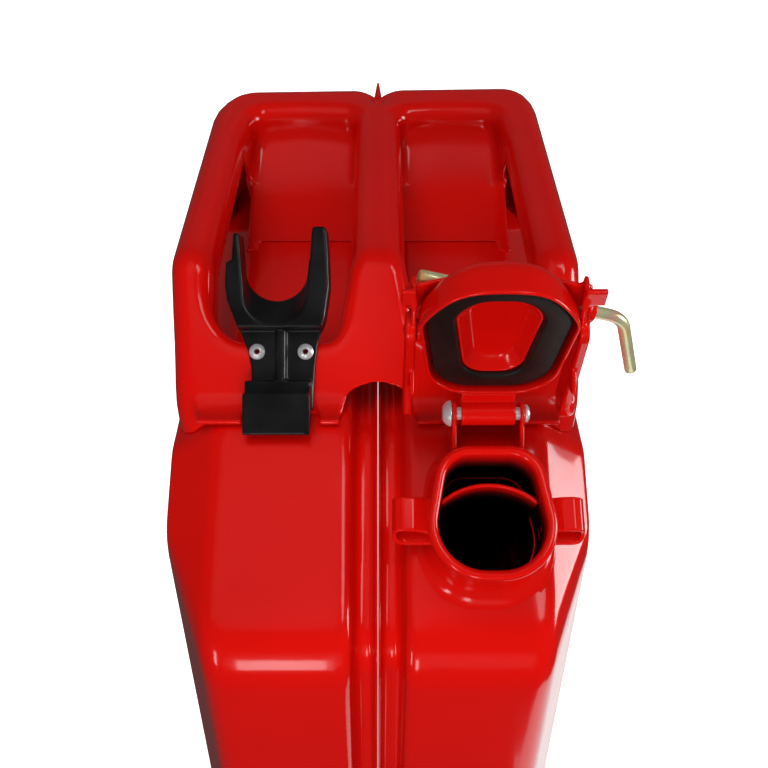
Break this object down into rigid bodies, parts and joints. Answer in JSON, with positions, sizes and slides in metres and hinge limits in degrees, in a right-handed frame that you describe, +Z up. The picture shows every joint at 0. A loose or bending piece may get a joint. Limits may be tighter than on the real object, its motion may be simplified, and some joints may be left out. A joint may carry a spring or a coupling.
{
  "type": "safety gas can",
  "caption": "Pressed-steel fuel can with a three-bar carry handle, offset pouring neck, hinged cam-lever lid, lock pin and spout holder clip.",
  "frame": {"origin": "under the middle of the whole object with its lock pin, 7 mm right of the seam plane", "axes": "+Z up, +X across the thickness towards the neck side, -Y towards the spout end"},
  "size_m": [0.179, 0.345, 0.5101],
  "materials": {
    "red_paint": "gloss",
    "gasket_rubber": "satin",
    "clip_plastic": "satin",
    "zinc_yellow": "polished",
    "rivet_steel": "satin"
  },
  "bodies": {
    "can": {"body_half_left": "red_paint", "body_half_right": "red_paint", "carry_handle": "red_paint", "spout_neck": "red_paint", "vent_baffle": "red_paint", "breather_tube": "rivet_steel", "ear_left": "red_paint", "ear_right": "red_paint", "hinge_bracket": "red_paint", "hinge_pin": "rivet_steel", "spout_holder_clip": "clip_plastic", "clip_rivet_left": "rivet_steel", "clip_rivet_right": "rivet_steel"},
    "lid": {"lid_shell": "red_paint", "lid_hinge_strap": "red_paint", "lid_gasket": "gasket_rubber", "gasket_retainer": "red_paint", "lever_pivot_left": "red_paint", "lever_pivot_right": "red_paint"},
    "lever": {"clamp_lever": "red_paint", "pin_guide_bush": "red_paint"},
    "lock_pin": {"lock_pin": "zinc_yellow"}
  },
  "joints": [
    {"name": "lid_hinge", "type": "hinge", "parent": "can", "child": "lid", "pos_m": [0.03253, -0.11182, 0.44402], "axis": [1, 0, 0], "range_deg": [0, 103.5]},
    {"name": "lever_pivot", "type": "hinge", "parent": "lid", "child": "lever", "pos_m": [0.03253, -0.11399, 0.48301], "axis": [-1, 0, 0], "range_deg": [0, 30]},
    {"name": "lock_pin_slide", "type": "slide", "parent": "lever", "child": "lock_pin", "axis": [0.9542, 0.0849, -0.2867], "range_m": [0, 0.055]}
  ]
}
